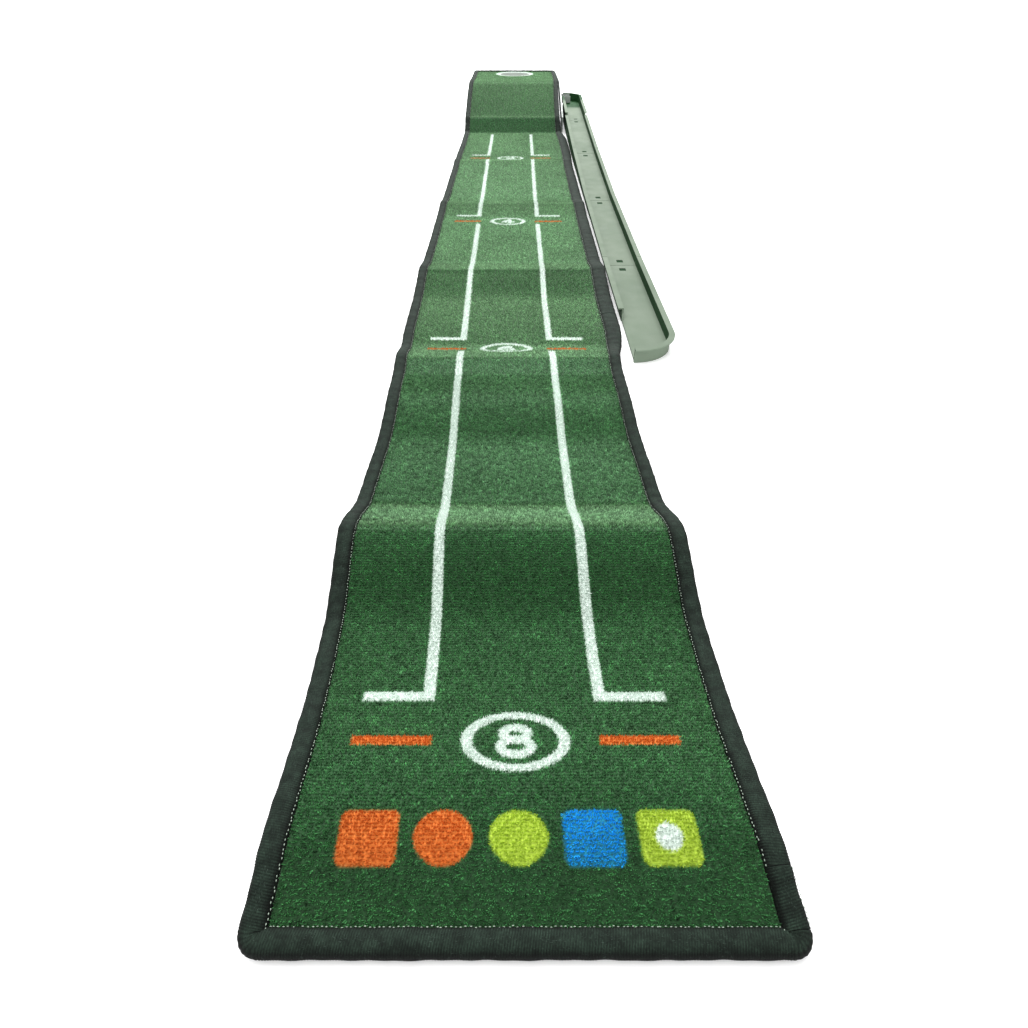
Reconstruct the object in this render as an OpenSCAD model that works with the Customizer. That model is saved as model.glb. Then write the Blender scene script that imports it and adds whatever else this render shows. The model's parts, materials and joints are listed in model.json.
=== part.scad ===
// Practice putting mat: a folding pile mat that climbs a raised target head,
// and a gravity track that brings the ball back along the mat's right side.
//
// Millimetres. X runs across the mat with the track at +X, Y runs away from
// the player and Z is up. The origin is on the floor, under the hole's centre.

/* [Mat] */
// Width of the mat over its bound edges
mat_w = 300; // [280:2:304]
// Thickness of the pile with its woven base
pile_t = 5.5; // [4:0.5:7]
// Thickness of the rubber underlay
underlay_t = 2.5; // [1.5:0.5:3]
// Width of the yarn-bound border
border_w = 15; // [10:1:18]
// Thickness of the yarn-bound border
border_t = 11; // [9.5:0.5:12]
// Length of the two panels nearest the ramp
long_panel = 429; // [400:1:460]
// Length of the two panels in the middle
short_panel = 356; // [340:1:380]
// Length of the panel in front of the player
front_panel = 323; // [300:1:340]
// Flat run between the last fold and the foot of the ramp
ramp_lead = 442; // [400:1:460]
// How much the packing folds still lift the mat
wave = 1; // [0.4:0.1:1]

/* [Target head] */
// Height of the deck that the mat lies on
deck_z = 107; // [105:0.5:112]
// Distance from the hole's centre to the front of the deck
deck_front = 225; // [222:1:232]
// Distance from the hole's centre to the back edge of the mat
deck_back = 90; // [88:1:110]
// Distance from the hole's centre to the foot of the ramp
ramp_foot = 505; // [500:1:530]
// Radius of the hole
hole_r = 54; // [52:0.5:56]
// Thickness of the moulded panels
panel_t = 3; // [2:0.5:3]

/* [Return track] */
// Width of the track over its walls
track_w = 56; // [54:0.5:58]
// Height of the track's walls
track_h = 20; // [18:0.5:24]
// Thickness of the track's walls
wall_t = 2.5; // [2:0.25:3]
// Gap between one track section and the next
joint_gap = 1.6; // [1.4:0.1:2.5]
// Length of the outlet elbow and of the ball tray
end_l = 375; // [370:1:380]
// Length of the tray's side that is open to the mat
tray_open = 140; // [120:5:160]

/* [Hidden] */

slack = 0.1;
cut = 1;
half_w = mat_w / 2;
mat_t = pile_t + underlay_t;
fold_gap = 0.6;

// Folds from the ramp towards the player: fold 5 is the nearest to the ramp
fold_5 = -ramp_foot - ramp_lead;
fold_4 = fold_5 - long_panel;
fold_3 = fold_4 - long_panel;
fold_2 = fold_3 - short_panel;
fold_1 = fold_2 - short_panel;
front_y = fold_1 - front_panel;
// Each mat panel's two ends, panel 1 in front of the player
panel_ends = [
    [front_y, fold_1], [fold_1, fold_2], [fold_2, fold_3], [fold_3, fold_4], [fold_4, fold_5]
];

// Ridges that the packing folds leave: centre, height, reach to the front, reach to the back
ridges = [
    [front_y + 60, 14, 60, 150],
    [fold_1, 23, 92, 80],
    [fold_2 - 104, 9, 80, 80],
    [fold_2, 15, 130, 78],
    [fold_3, 8, 120, 72],
    [fold_4, 4, 90, 60],
    [fold_5, 3, 80, 60]
];

// Ramp under the mat: a steeper toe up to the knee, then an even slope to the deck
knee_y = -455;
knee_z = 0.315 * deck_z;
plate_drop = 1.4;       // room for the hook strips between the plates and the mat
shell_w = mat_w - 7;    // the moulded shell stays just inside the mat's edges
base_t = 4;
base_front = -480;
shell_back = deck_back - 4;
post_spots = [[-125, 65], [125, 65], [-125, -200], [60, -212]];
post_r = 6;
screw_r = 1.9;
screw_head_r = 3.6;
pad_r = 14;
pad_t = 1.4;
pad_spots = [[-100, -360], [100, -360], [-105, 20], [105, 20]];
rib_spots = [-90, 0, 90];

// Ball path inside the head
chute_z = 57;           // top of the chute's floor under the hole
chute_t = 2;
chute_r = 61;
chute_wall = 20;
outlet_y = -178;
outlet_w = 58;
outlet_low = 43;
outlet_high = 100;
chute_end = shell_w / 2;
chute_neck = 30;
chute_turn = atan2(outlet_y, chute_end);
chute_fall = 1.1;       // degrees
chute_posts = [[-30, 30], [-30, -30], [60, -70]];
collar_t = 2.8;
collar_low = 101.2;
collar_high = deck_z + mat_t - 1;
flange_r = 66;
flange_t = 1.2;
cover_x = half_w + 0.5;
cover_t = 4;
cover_lip = 7;          // how far the side cover stands above the mat's underside
side_screw_spots = [[-390, 24], [-260, 30], [40, 30]];
side_screw_r = 1.5;
side_screw_head_r = 3.2;
spout_floor = 52.4;
spout_tip = 192;

// Return track: the floor points where one section meets the next, from the tray to the elbow
track_x = half_w + 35.5;
tray_joint = [track_x, -1750, 0];
low_joint = [track_x, -1338, 6];
mid_joint = [track_x + 1, -927, 22.5];
high_joint = [track_x + 5, -515, 38.5];
elbow_end = [track_x + 12, -133, 45.3];
elbow_h = 27;           // the elbow's walls stand higher, to catch the ball
deep_skirt = 50;        // deeper than any section's walls stand over the floor
elbow_open = 70;        // open end of the elbow's inner wall, where the spout comes in
floor_z = 2.8;          // underside of the channel's floor above the foot of its walls
floor_t = 2;
lip_t = 6;
lip_h = 2;
slot_w = 11;
slot_l = 13;
slot_in = 14;           // from a section's end to its slot
clip_w = 36;
clip_l = 58;
clip_low = 0.6;
clip_t = 1.4;
tab_l = 10;
tab_w = 10;
collar_rib = 5;
rib_out = 1.5;

function ridge(y, r) =
    let (u = y < r[0] ? (r[0] - y) / r[2] : (y - r[0]) / r[3])
    u < 1 ? r[1] * (1 + cos(180 * u)) / 2 : 0;

function sum(list, i = 0) = i < len(list) ? list[i] + sum(list, i + 1) : 0;

// Height of the mat's underside above the floor, on the flat run
function run_z(y) = wave * sum([for (r = ridges) ridge(y, r)]);

// The same on the head, along the straight lines of its ramp and deck
function ramp_z(y) =
    y < -ramp_foot ? 0
    : y < knee_y ? knee_z * (y + ramp_foot) / (knee_y + ramp_foot)
    : y < -deck_front ? knee_z + (deck_z - knee_z) * (y - knee_y) / (-deck_front - knee_y)
    : deck_z;

function mat_z(y) = max(run_z(y), ramp_z(y));

// Height of the top of the chute's sloping floor
function chute_floor_z(p) =
    chute_z - sin(chute_fall) * (p[0] * cos(chute_turn) + p[1] * sin(chute_turn));

// Steps along a stretch of the mat, fine enough for its ridges
function stations(a, b, step = 11) =
    let (n = ceil((b - a) / step))
    [for (i = [0:n]) a + (b - a) * i / n];

// A solid that follows the mat between two heights over its underside, from x0 to x1
module mat_band(ys, low, high, x0, x1) {
    profile = concat(
        [for (y = ys) [y, mat_z(y) + low]],
        [for (i = [len(ys) - 1:-1:0]) [ys[i], mat_z(ys[i]) + high]]
    );
    translate([x0, 0, 0])
        rotate([90, 0, 90])
            linear_extrude(x1 - x0)
                polygon(profile);
}

function panel_ys(i) = stations(
    panel_ends[i][0] + (i == 0 ? 0 : fold_gap / 2),
    panel_ends[i][1] - fold_gap / 2
);

// The head's stretch of mat has a station at each change of slope
function head_ys(back) = [
    fold_5 + fold_gap / 2, fold_5 + 12, fold_5 + 24, fold_5 + 36, fold_5 + 48, fold_5 + 60,
    -ramp_foot, knee_y, -deck_front, back
];

module turf_panel(i) {
    color("forestgreen")
        intersection() {
            mat_band(panel_ys(i), underlay_t, mat_t, -half_w + border_w + slack,
                half_w - border_w - slack);
            translate([-half_w, i == 0 ? front_y + border_w + slack : front_y, 0])
                cube([mat_w, -front_y, 2 * deck_z]);
        }
}

module underlay_panel(i) {
    color("dimgray")
        intersection() {
            mat_band(panel_ys(i), 0, underlay_t - slack, -half_w + border_w + slack,
                half_w - border_w - slack);
            translate([-half_w, i == 0 ? front_y + border_w + slack : front_y, -cut])
                cube([mat_w, -front_y, 2 * deck_z]);
        }
}

module border_strips(ys) {
    mat_band(ys, 0, border_t, -half_w, -half_w + border_w);
    mat_band(ys, 0, border_t, half_w - border_w, half_w);
}

module border_panel(i) {
    color("darkslategray") {
        border_strips(panel_ys(i));
        if (i == 0)
            mat_band(stations(front_y, front_y + border_w, 5), 0, border_t, -half_w, half_w);
    }
}

module turf_ramp() {
    color("mediumseagreen")
        difference() {
            mat_band(head_ys(deck_back - border_w - slack), underlay_t, mat_t,
                -half_w + border_w + slack, half_w - border_w - slack);
            translate([0, 0, deck_z])
                cylinder(r = hole_r + collar_t + slack, h = 3 * mat_t, $fn = 96);
        }
}

module underlay_ramp() {
    color("dimgray")
        difference() {
            mat_band(head_ys(deck_back - border_w - slack), 0, underlay_t - slack,
                -half_w + border_w + slack, half_w - border_w - slack);
            translate([0, 0, deck_z - cut])
                cylinder(r = hole_r + collar_t + slack, h = 3 * mat_t, $fn = 96);
        }
}

module border_ramp() {
    color("darkslategray") {
        border_strips(head_ys(deck_back));
        mat_band([deck_back - border_w, deck_back], 0, border_t, -half_w, half_w);
    }
}

// A wall or rib of the head in the YZ plane: it fills the space under the plates
module shell_slice(x, t, y0, y1, drop) {
    ys = concat([y0], [for (y = [knee_y, -deck_front]) if (y > y0 && y < y1) y], [y1]);
    profile = concat(
        [[y1, base_t], [y0, base_t]],
        [for (y = ys) [y, ramp_z(y) - drop]]
    );
    translate([x, 0, 0])
        rotate([90, 0, 90])
            linear_extrude(t)
                polygon(profile);
}

wall_drop = plate_drop + panel_t + slack;

module head_base() {
    color("dimgray")
        difference() {
            translate([-shell_w / 2, base_front, 0])
                cube([shell_w, shell_back - base_front, base_t]);
            for (p = post_spots)
                translate([p[0], p[1], 0]) {
                    translate([0, 0, -cut])
                        cylinder(r = screw_r + 0.2, h = base_t + 2 * cut, $fn = 32);
                    translate([0, 0, -cut])
                        cylinder(r = screw_head_r + 0.2, h = base_t / 2 + cut, $fn = 32);
                }
            for (p = pad_spots)
                translate([p[0], p[1], -cut])
                    cylinder(r = pad_r + 0.2, h = pad_t + slack + cut, $fn = 48);
        }
}

module left_wall() {
    color("gray")
        shell_slice(-shell_w / 2, panel_t, base_front + 40, shell_back - panel_t - slack, wall_drop);
}

module outlet_cut() {
    translate([0, outlet_y - outlet_w / 2 - 1, outlet_low])
        cube([2 * mat_w, outlet_w + 2, outlet_high - outlet_low]);
}

module right_wall() {
    color("gray")
        difference() {
            shell_slice(shell_w / 2 - panel_t, panel_t, base_front + 40,
                shell_back - panel_t - slack, wall_drop);
            outlet_cut();
            for (p = side_screw_spots)
                translate([0, p[0], p[1]])
                    rotate([0, 90, 0])
                        cylinder(r = side_screw_r + slack, h = mat_w, $fn = 32);
        }
}

module back_wall() {
    color("gray")
        translate([-shell_w / 2, shell_back - panel_t, base_t])
            cube([shell_w, panel_t, deck_z - wall_drop - base_t]);
}

// A moulded plate that lies under the mat between two stations
module head_plate(ys) {
    profile = concat(
        [for (y = ys) [y, ramp_z(y) - plate_drop]],
        [for (i = [len(ys) - 1:-1:0])
            [ys[i], max(0, ramp_z(ys[i]) - plate_drop - panel_t)]]
    );
    translate([-shell_w / 2, 0, 0])
        rotate([90, 0, 90])
            linear_extrude(shell_w)
                polygon(profile);
}

module ramp_plate() {
    toe = -ramp_foot + 8;
    thick_toe = -ramp_foot + 16;
    color("silver")
        head_plate([toe, thick_toe, knee_y, -deck_front - slack]);
}

module deck_plate() {
    color("silver")
        difference() {
            head_plate([-deck_front, shell_back]);
            translate([0, 0, deck_z - plate_drop - panel_t - cut])
                cylinder(r = hole_r + collar_t + slack, h = panel_t + 2 * cut, $fn = 96);
        }
}

module ramp_ribs() {
    color("silver")
        for (x = rib_spots)
            shell_slice(x - panel_t / 2, panel_t, knee_y - 10, -deck_front - 2, wall_drop);
}

module support_posts() {
    color("silver")
        for (p = post_spots)
            translate([p[0], p[1], base_t])
                difference() {
                    cylinder(r = post_r, h = deck_z - wall_drop - base_t, $fn = 48);
                    translate([0, 0, -cut])
                        cylinder(r = screw_r + slack, h = 20, $fn = 32);
                }
}

module screw(shank_r, head_r, head_h, l) {
    cylinder(r = head_r, h = head_h, $fn = 32);
    cylinder(r = shank_r, h = l, $fn = 32);
}

module base_screws() {
    color("lightgray")
        for (p = post_spots)
            translate([p[0], p[1], 0.3])
                screw(screw_r, screw_head_r, 1.6, 18);
}

module grip_pads() {
    color("black")
        for (p = pad_spots)
            translate([p[0], p[1], 0])
                cylinder(r = pad_r, h = pad_t, $fn = 48);
}

// Outer cover on the track's side, with bosses that hold it off the wall
module side_cover() {
    inner = shell_w / 2 + slack;
    y0 = knee_y + 6;
    ys = [y0, -deck_front, shell_back];
    profile = concat([[shell_back, 0], [y0, 0]], [for (y = ys) [y, ramp_z(y) + cover_lip]]);
    color("lightgray")
        difference() {
            union() {
                translate([cover_x, 0, 0])
                    rotate([90, 0, 90])
                        linear_extrude(cover_t)
                            polygon(profile);
                for (p = side_screw_spots)
                    translate([inner, p[0], p[1]])
                        rotate([0, 90, 0])
                            cylinder(r = 5, h = cover_x - inner + cut, $fn = 48);
            }
            outlet_cut();
            for (p = side_screw_spots)
                translate([0, p[0], p[1]])
                    rotate([0, 90, 0])
                        cylinder(r = side_screw_r + slack, h = mat_w, $fn = 32);
        }
}

module side_screws() {
    color("silver")
        for (p = side_screw_spots)
            translate([cover_x + cover_t + 2.1, p[0], p[1]])
                rotate([0, -90, 0])
                    screw(side_screw_r, side_screw_head_r, 2, 16);
}

// Hook-and-loop strips that hold the mat's underlay down on the head
module hook_strips() {
    strip_w = 25;
    strip_t = plate_drop - 2 * slack;
    color("black") {
        for (y = [-deck_front + 20, flange_r + 2])
            translate([-110, y, deck_z - plate_drop + slack])
                cube([220, strip_w / 2, strip_t]);
        for (side = [-1, 1])
            translate([side * 105, knee_y, knee_z])
                rotate([atan2(deck_z - knee_z, -deck_front - knee_y), 0, 0])
                    translate([-strip_w / 2, 20, -plate_drop + 2 * slack])
                        cube([strip_w, 180, strip_t - 2 * slack]);
    }
}

module hole_collar() {
    color("whitesmoke")
        difference() {
            union() {
                translate([0, 0, collar_low])
                    cylinder(r = hole_r + collar_t, h = collar_high - collar_low, $fn = 96);
                translate([0, 0, deck_z - plate_drop + slack])
                    cylinder(r = flange_r, h = flange_t - slack, $fn = 96);
            }
            translate([0, 0, collar_low - cut])
                cylinder(r = hole_r, h = collar_high - collar_low + 2 * cut, $fn = 96);
        }
}

// Plan of the chute: a basin under the hole that narrows to a straight neck at the outlet
module chute_plan(inset, reach) {
    neck_x = chute_end - chute_neck;
    hull() {
        circle(r = chute_r - inset, $fn = 24);
        translate([neck_x, outlet_y - outlet_w / 2 + inset])
            square([1, outlet_w - 2 * inset]);
    }
    translate([neck_x, outlet_y - outlet_w / 2 + inset])
        square([chute_neck + reach, outlet_w - 2 * inset]);
}

module ball_chute() {
    color("silver") {
        intersection() {
            translate([0, 0, chute_z - chute_t])
                rotate(a = chute_fall, v = [-sin(chute_turn), cos(chute_turn), 0])
                    difference() {
                        linear_extrude(chute_t + chute_wall)
                            chute_plan(0, 20);
                        translate([0, 0, chute_t])
                            linear_extrude(chute_wall + cut)
                                chute_plan(chute_t, 30);
                    }
            translate([-mat_w, -mat_w, 0])
                cube([mat_w + chute_end, 2 * mat_w, deck_z]);
        }
        for (p = chute_posts)
            translate([p[0], p[1], base_t + slack])
                cylinder(r = 5, h = chute_floor_z(p) - chute_t / 2 - base_t - slack, $fn = 48);
    }
}

// Short trough that carries the ball through the side cover and into the elbow
module outlet_spout() {
    x0 = shell_w / 2 + 2 * slack;
    flange = 2.5;
    margin = 8;
    y0 = outlet_y - outlet_w / 2;
    color("whitesmoke")
        difference() {
            union() {
                translate([x0, y0, spout_floor - chute_t])
                    cube([spout_tip - x0, outlet_w, chute_wall]);
                translate([x0, y0 - margin, outlet_low - margin + 4])
                    cube([flange, outlet_w + 2 * margin, outlet_high - outlet_low + margin]);
            }
            translate([x0 - cut, y0 + chute_t, spout_floor])
                cube([spout_tip, outlet_w - 2 * chute_t, outlet_high - spout_floor - cut]);
        }
}

function between(a, b) = norm(b - a);
function yaw(a, b) = -atan2(b[0] - a[0], b[1] - a[1]);
function pitch(a, b) = asin((b[2] - a[2]) / norm(b - a));

// Places a piece that is drawn along +Y so that it runs up the track from a to b
module along(a, b) {
    translate(a)
        rotate([0, 0, yaw(a, b)])
            rotate([pitch(a, b), 0, 0])
                children();
}

// Cuts a placed track section off level with the floor that it stands on
module on_floor() {
    intersection() {
        children();
        translate([half_w, front_y, 0])
            cube([mat_w, -front_y, 2 * deck_z]);
    }
}

// One wall of height h with its outward lip, on the right or (side < 0) on the left. It goes
// down to the floor of the room, up to `deep` below the channel
module track_wall(y0, y1, side, h, deep) {
    mirror([side < 0 ? 1 : 0, 0, 0]) {
        translate([track_w / 2 - wall_t, y0, -deep])
            cube([wall_t, y1 - y0, h + deep]);
        translate([track_w / 2 - slack, y0, h - lip_h])
            cube([lip_t + slack, y1 - y0, lip_h]);
    }
}

// Upright ribs outside both walls, where a section meets the next
module collar_ribs(y0, h) {
    for (side = [0, 1])
        mirror([side, 0, 0])
            translate([track_w / 2 - slack, y0, 0])
                cube([rib_out + slack, collar_rib, h]);
}

module track_floor(y0, y1) {
    translate([-track_w / 2 + slack, y0, floor_z])
        cube([track_w - 2 * slack, y1 - y0, floor_t]);
}

module floor_slot(y0) {
    translate([-slot_w / 2, y0, floor_z - cut])
        cube([slot_w, slot_l, floor_t + 2 * cut]);
}

module straight_section(l, deep) {
    y0 = joint_gap / 2;
    y1 = l - joint_gap / 2;
    difference() {
        union() {
            track_wall(y0, y1, -1, track_h, deep);
            track_wall(y0, y1, 1, track_h, deep);
            track_floor(y0, y1);
            collar_ribs(y0, track_h);
            collar_ribs(y1 - collar_rib, track_h);
        }
        floor_slot(y0 + slot_in);
        floor_slot(y1 - slot_in - slot_l);
    }
}

// A section whose outer wall sweeps across its end; the inner wall stops open_l short of it
module curved_end(l, open_l, h, deep) {
    y0 = joint_gap / 2;
    bend_y = l - track_w;
    difference() {
        union() {
            track_wall(y0, bend_y, 1, h, deep);
            track_wall(y0, l - open_l, -1, h, deep);
            if (deep > 0)
                translate([-track_w / 2, l - open_l - slack, -deep])
                    cube([wall_t, open_l - wall_t / 2, floor_z + floor_t + deep]);
            track_floor(y0, bend_y);
            collar_ribs(y0, h);
            translate([-track_w / 2, bend_y - slack, 0])
                rotate_extrude(angle = 90, $fn = 128)
                    polygon([
                        [0, floor_z], [track_w - wall_t, floor_z], [track_w - wall_t, -deep],
                        [track_w, -deep], [track_w, h - lip_h],
                        [track_w + lip_t, h - lip_h], [track_w + lip_t, h],
                        [track_w - wall_t, h], [track_w - wall_t, floor_z + floor_t],
                        [0, floor_z + floor_t]
                    ]);
        }
        floor_slot(y0 + slot_in);
    }
}

// Clip under a joint: a plate with one tab up into the slot of each section
module track_clip() {
    translate([-clip_w / 2, -clip_l / 2, clip_low])
        cube([clip_w, clip_l, clip_t]);
    for (y = [-slot_in - joint_gap - tab_l, slot_in + joint_gap])
        translate([-tab_w / 2, y, clip_low])
            cube([tab_w, tab_l, floor_z + floor_t - clip_low - 0.3]);
}

module outlet_elbow() {
    color("darkgreen")
        on_floor()
            along(high_joint, elbow_end)
                curved_end(end_l, elbow_open, elbow_h, deep_skirt);
}

module elbow_clip() {
    color("darkseagreen")
        along(high_joint, elbow_end)
            track_clip();
}

module upper_track() {
    color("darkseagreen")
        on_floor()
            along(mid_joint, high_joint)
                straight_section(between(mid_joint, high_joint), deep_skirt);
}

module upper_clip() {
    color("darkseagreen")
        along(mid_joint, high_joint)
            track_clip();
}

module middle_track() {
    color("darkseagreen")
        on_floor()
            along(low_joint, mid_joint)
                straight_section(between(low_joint, mid_joint), deep_skirt);
}

module middle_clip() {
    color("darkseagreen")
        along(low_joint, mid_joint)
            track_clip();
}

module lower_track() {
    color("darkseagreen")
        on_floor()
            along(tray_joint, low_joint)
                straight_section(between(tray_joint, low_joint), deep_skirt);
}

module lower_clip() {
    color("darkseagreen")
        along(tray_joint, low_joint)
            track_clip();
}

// The tray is the track's last piece: its curved end turns the ball back onto the mat
module ball_tray() {
    stop_l = 9;
    color("darkseagreen")
        translate(tray_joint)
            mirror([0, 1, 0]) {
                curved_end(end_l, tray_open, track_h, 0);
                // Small gusset that stiffens the free end of the inner wall
                translate([-track_w / 2 + slack, end_l - tray_open, floor_z])
                    rotate([90, 0, 90])
                        linear_extrude(wall_t - slack)
                            polygon([[-slack, 0], [stop_l, 0], [-slack, stop_l]]);
            }
}

turf_panel(0);  // turf_panel_1
turf_panel(1);  // turf_panel_2
turf_panel(2);  // turf_panel_3
turf_panel(3);  // turf_panel_4
turf_panel(4);  // turf_panel_5
turf_ramp();
underlay_panel(0);  // underlay_panel_1
underlay_panel(1);  // underlay_panel_2
underlay_panel(2);  // underlay_panel_3
underlay_panel(3);  // underlay_panel_4
underlay_panel(4);  // underlay_panel_5
underlay_ramp();
border_panel(0);  // border_panel_1
border_panel(1);  // border_panel_2
border_panel(2);  // border_panel_3
border_panel(3);  // border_panel_4
border_panel(4);  // border_panel_5
border_ramp();
head_base();
left_wall();
right_wall();
back_wall();
ramp_plate();
ramp_ribs();
deck_plate();
support_posts();
base_screws();
grip_pads();
side_cover();
side_screws();
hook_strips();
hole_collar();
ball_chute();
outlet_spout();
outlet_elbow();
elbow_clip();
upper_track();
upper_clip();
middle_track();
middle_clip();
lower_track();
lower_clip();
ball_tray();
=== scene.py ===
import json
import math

import bpy
import numpy as np
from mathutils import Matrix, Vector


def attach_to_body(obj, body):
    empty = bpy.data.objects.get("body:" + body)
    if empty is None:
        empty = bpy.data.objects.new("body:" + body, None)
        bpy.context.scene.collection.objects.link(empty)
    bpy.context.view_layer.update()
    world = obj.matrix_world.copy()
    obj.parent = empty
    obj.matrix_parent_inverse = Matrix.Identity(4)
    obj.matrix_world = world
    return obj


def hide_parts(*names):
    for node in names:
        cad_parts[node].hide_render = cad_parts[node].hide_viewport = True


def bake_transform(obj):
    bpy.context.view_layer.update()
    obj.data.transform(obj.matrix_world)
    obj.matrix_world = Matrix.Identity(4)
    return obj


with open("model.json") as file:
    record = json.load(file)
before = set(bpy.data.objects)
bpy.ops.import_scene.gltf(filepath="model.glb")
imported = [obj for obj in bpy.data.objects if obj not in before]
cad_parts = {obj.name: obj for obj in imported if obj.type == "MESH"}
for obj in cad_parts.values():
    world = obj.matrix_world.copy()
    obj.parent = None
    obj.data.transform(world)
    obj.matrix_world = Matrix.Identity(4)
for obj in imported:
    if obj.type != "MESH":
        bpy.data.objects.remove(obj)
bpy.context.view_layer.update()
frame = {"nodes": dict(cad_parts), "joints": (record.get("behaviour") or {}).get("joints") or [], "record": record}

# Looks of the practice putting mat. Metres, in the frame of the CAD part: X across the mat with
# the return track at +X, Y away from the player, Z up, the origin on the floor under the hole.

pile_random = np.random.default_rng(2836)
MM = 0.001

# ---------------------------------------------------------------------------------------------
# Sizes read from the CAD frame
# ---------------------------------------------------------------------------------------------


def node_points(name):
    """The vertices of a CAD node, in the shared frame."""
    mesh = frame["nodes"][name].data
    points = np.zeros(len(mesh.vertices) * 3, np.float32)
    mesh.vertices.foreach_get("co", points)
    return points.reshape(-1, 3).astype(float)


FOLDS = (1, 2, 3, 4, 5)
border_nodes = [f"border_panel_{k}" for k in FOLDS] + ["border_ramp"]
border_points = np.concatenate([node_points(n) for n in border_nodes])
HALF_W = float(border_points[:, 0].max())
FRONT_Y = float(border_points[:, 1].min())
BACK_Y = float(border_points[:, 1].max())
fold_y = {j["name"]: j["pos_m"][1] for j in frame["joints"] if j["name"].startswith("fold_")}

BORDER_W = 15 * MM
BORDER_H = 11 * MM
UNDERLAY_T = 2.4 * MM
TURF_LOW = 2.5 * MM
SHEET_TOP = 5.9 * MM
PILE_TOP = 8.0 * MM
TURF_HALF = HALF_W - BORDER_W
HOLE_R = 57.0 * MM
BLEND_REACH = 14 * MM
CREASE_H = 3.2 * MM
CREASE_REACH = 15 * MM
KNEE_Y = -0.455
KNEE_CREASE_H = 2.2 * MM
KNEE_CREASE_REACH = 7 * MM
DECK_EDGE_Y = -0.225
DECK_EDGE_REACH = 0.05
# Spreads of the smoothing, in whole millimetres along the cloth
CREASE_SOFT = 4
DECK_EDGE_SOFT = 10
SIDEWAYS_SOFT = 15


def softened(values, spread):
    """Values at every millimetre, smoothed over a spread in millimetres."""
    reach = np.arange(-4 * spread, 4 * spread + 1)
    kernel = np.exp(-0.5 * (reach / spread) ** 2)
    return np.convolve(np.pad(values, 4 * spread, mode="edge"), kernel / kernel.sum(), mode="valid")


def underside_profile():
    """Height of the mat's underside along Y, as the CAD border gives it, with softened corners."""
    ys = np.round(border_points[:, 1], 4)
    stations = np.unique(ys)
    lows = np.array([border_points[ys == y, 2].min() for y in stations])
    fine = np.arange(FRONT_Y, BACK_Y + 0.5 * MM, 1 * MM)
    height = np.interp(fine, stations, lows)
    for y in fold_y.values():
        height += CREASE_H * np.exp(-np.abs(fine - y) / CREASE_REACH)
    height += KNEE_CREASE_H * np.exp(-np.abs(fine - KNEE_Y) / KNEE_CREASE_REACH)
    over_edge = np.exp(-((fine - DECK_EDGE_Y) / DECK_EDGE_REACH) ** 2)
    creased = softened(height, CREASE_SOFT)
    rounded = softened(height, DECK_EDGE_SOFT)
    return fine, creased + (rounded - creased) * over_edge


PROFILE_Y, PROFILE_Z = underside_profile()
PROFILE_SLOPE = np.gradient(PROFILE_Z, PROFILE_Y)
# The head holds the cloth from HEAD_START on. Its unevenness fades out over these reaches before.
HEAD_START = -0.51
RIPPLE_FADE = 0.08
WANDER_FADE = 0.25
RIPPLE_H = 0.9 * MM
CURL_H = 1.2 * MM


def ripple(x, y):
    """Slight unevenness of the cloth where nothing holds it flat. It dies out on the head."""
    wave = (
        0.5 * np.sin(11.3 * y + 9.0 * x + 0.4)
        + 0.3 * np.sin(26.7 * y - 17.0 * x + 1.9)
        + 0.2 * np.sin(43.1 * y + 31.0 * x + 4.2)
    )
    free = np.clip((HEAD_START - y) / RIPPLE_FADE, 0, 1)
    edge = (np.abs(x) / HALF_W) ** 4
    curl = CURL_H * edge * (0.5 + 0.5 * np.sin(17.0 * y + 1.1 + 2 * np.sign(x)))
    return free * (RIPPLE_H * (0.5 + 0.5 * wave) + curl)


def under(x, y):
    """Height of the mat's underside."""
    return np.interp(y, PROFILE_Y, PROFILE_Z) + ripple(x, y)


def slope(y):
    return np.interp(y, PROFILE_Y, PROFILE_SLOPE)


# How far the cloth lies off its straight line along Y, in millimetres to the side
BOW = (
    (-2.84, 4.5), (-2.78, 2.6), (-2.71, 0.9), (-2.57, -2.2), (-2.44, -5.8), (-2.24, -8.8),
    (-1.92, -12.4), (-1.33, -12.4), (-0.90, -10.0), (-0.62, -8.0), (-0.30, -6.0), (-0.16, -1.5),
    (-0.09, 0.0), (0.09, 0.0),
)
# How far its right edge spreads towards the track along Y, in millimetres
SPREAD = (
    (-2.15, 0.0), (-2.10, 9.5), (-2.05, 14.5), (-1.90, 15.8), (-1.81, 15.0), (-1.70, 13.6),
    (-1.48, 12.7), (-1.40, 12.6), (-1.25, 13.4), (-1.12, 12.7), (-0.96, 11.4), (-0.86, 15.0),
    (-0.62, 15.5), (-0.54, 9.0), (-0.46, 0.0),
)
# How far both edges draw in along Y, in millimetres, where they curl under a little
DRAW_IN = (
    (-2.80, 0.0), (-2.765, 2.2), (-2.72, 3.5), (-2.68, 2.0), (-2.62, 0.0), (-2.54, 0.5),
    (-2.44, 3.0), (-2.38, 5.0), (-2.30, 8.0), (-2.18, 8.5), (-2.11, 6.0), (-2.04, 2.5),
    (-1.80, 2.0), (-1.50, 0.0),
)


def sideways(table):
    """A table of stations and millimetres as a smooth curve over the mat's length."""
    rough = np.interp(PROFILE_Y, [y for y, _ in table], [x * MM for _, x in table])
    return softened(rough, SIDEWAYS_SOFT)


PROFILE_BOW = sideways(BOW)
PROFILE_DRAW = sideways(DRAW_IN)
PROFILE_SPREAD = sideways(SPREAD)
# How sharply each grows towards the edge: the spread moves little but the border, the draw moves
# the outer part of the pile as well
SPREAD_POWER = 10
DRAW_POWER = 3
FLARE = 4.0 * MM
FLARE_REACH = 0.03


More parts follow.
